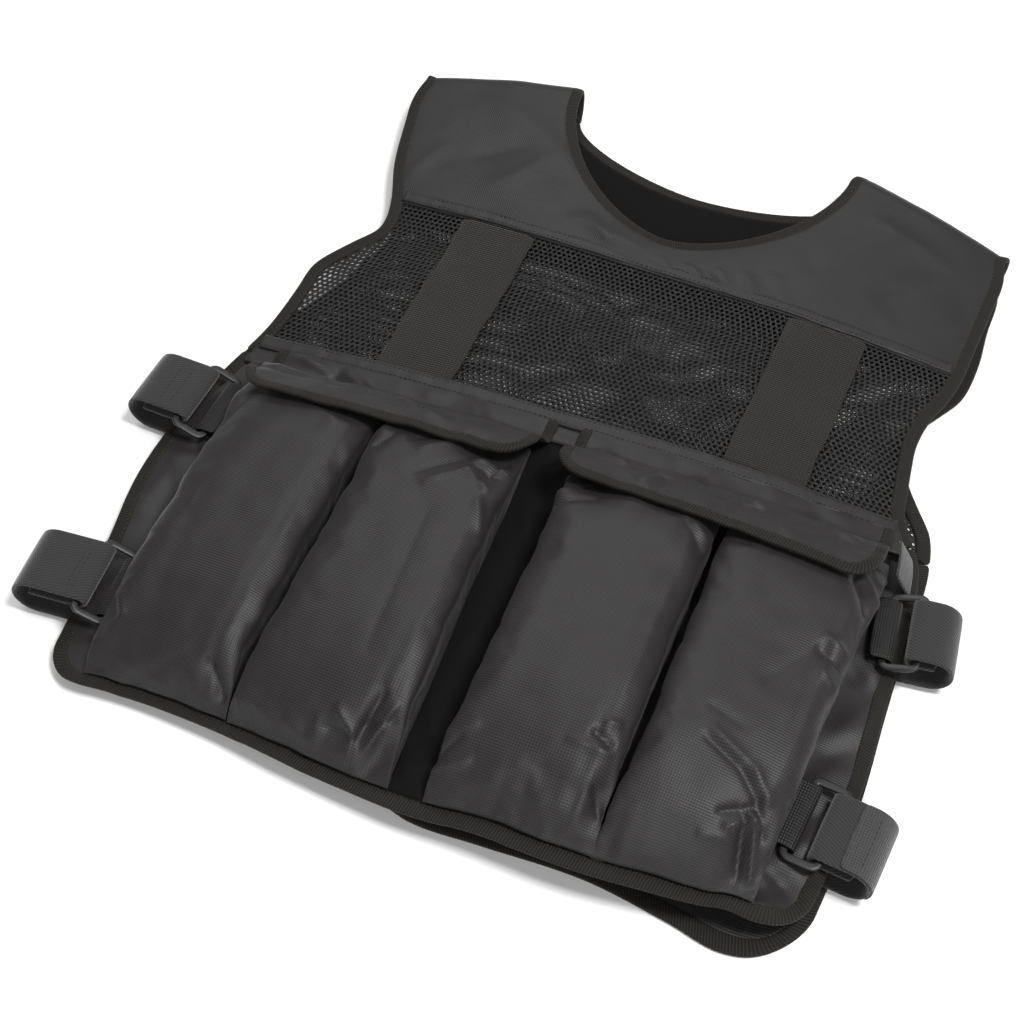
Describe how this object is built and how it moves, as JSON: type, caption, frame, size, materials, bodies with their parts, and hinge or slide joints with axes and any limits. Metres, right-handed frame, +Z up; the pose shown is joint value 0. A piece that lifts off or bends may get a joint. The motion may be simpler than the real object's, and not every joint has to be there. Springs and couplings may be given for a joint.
{
  "type": "weighted vest",
  "caption": "Training vest laid flat: padded cloth yoke, net chest, filled weight pockets under flaps and side adjustment straps.",
  "frame": {"origin": "on the floor under the middle of the vest as it lies on its back", "axes": "+Z up from the floor, +Y from the hem towards the neck, +X to the side on the viewer's right"},
  "size_m": [0.5014, 0.5572, 0.0608],
  "materials": {
    "oxford": "woven nylon oxford, fine ribs, slight sheen",
    "net": "knitted net with open hexagonal holes",
    "tape": "ribbed binding tape",
    "webbing": "coarse woven webbing",
    "loop_strap": "hook-and-loop strap, brushed",
    "plastic": "moulded, semi-gloss"
  },
  "bodies": {
    "root": {"front_panel": "oxford", "back_panel": "oxford", "front_mesh": "net", "back_mesh": "net", "front_yoke": "oxford", "back_yoke": "oxford", "front_neck_binding": "tape", "back_neck_binding": "tape", "armhole_binding_left": "tape", "armhole_binding_right": "tape", "front_hem_binding": "tape", "back_hem_binding": "tape", "front_band": "oxford", "webbing_left": "webbing", "webbing_right": "webbing", "pocket_1": "oxford", "pocket_2": "oxford", "pocket_3": "oxford", "pocket_4": "oxford", "flap_left": "oxford", "flap_binding_left": "tape", "flap_right": "oxford", "flap_binding_right": "tape", "strap_top_left": "loop_strap", "anchor_top_left": "webbing", "ring_top_left": "plastic", "strap_bottom_left": "loop_strap", "anchor_bottom_left": "webbing", "ring_bottom_left": "plastic", "strap_top_right": "loop_strap", "anchor_top_right": "webbing", "ring_top_right": "plastic", "strap_bottom_right": "loop_strap", "anchor_bottom_right": "webbing", "ring_bottom_right": "plastic", "fastener_strip_right": "loop_strap"}
  },
  "joints": []
}
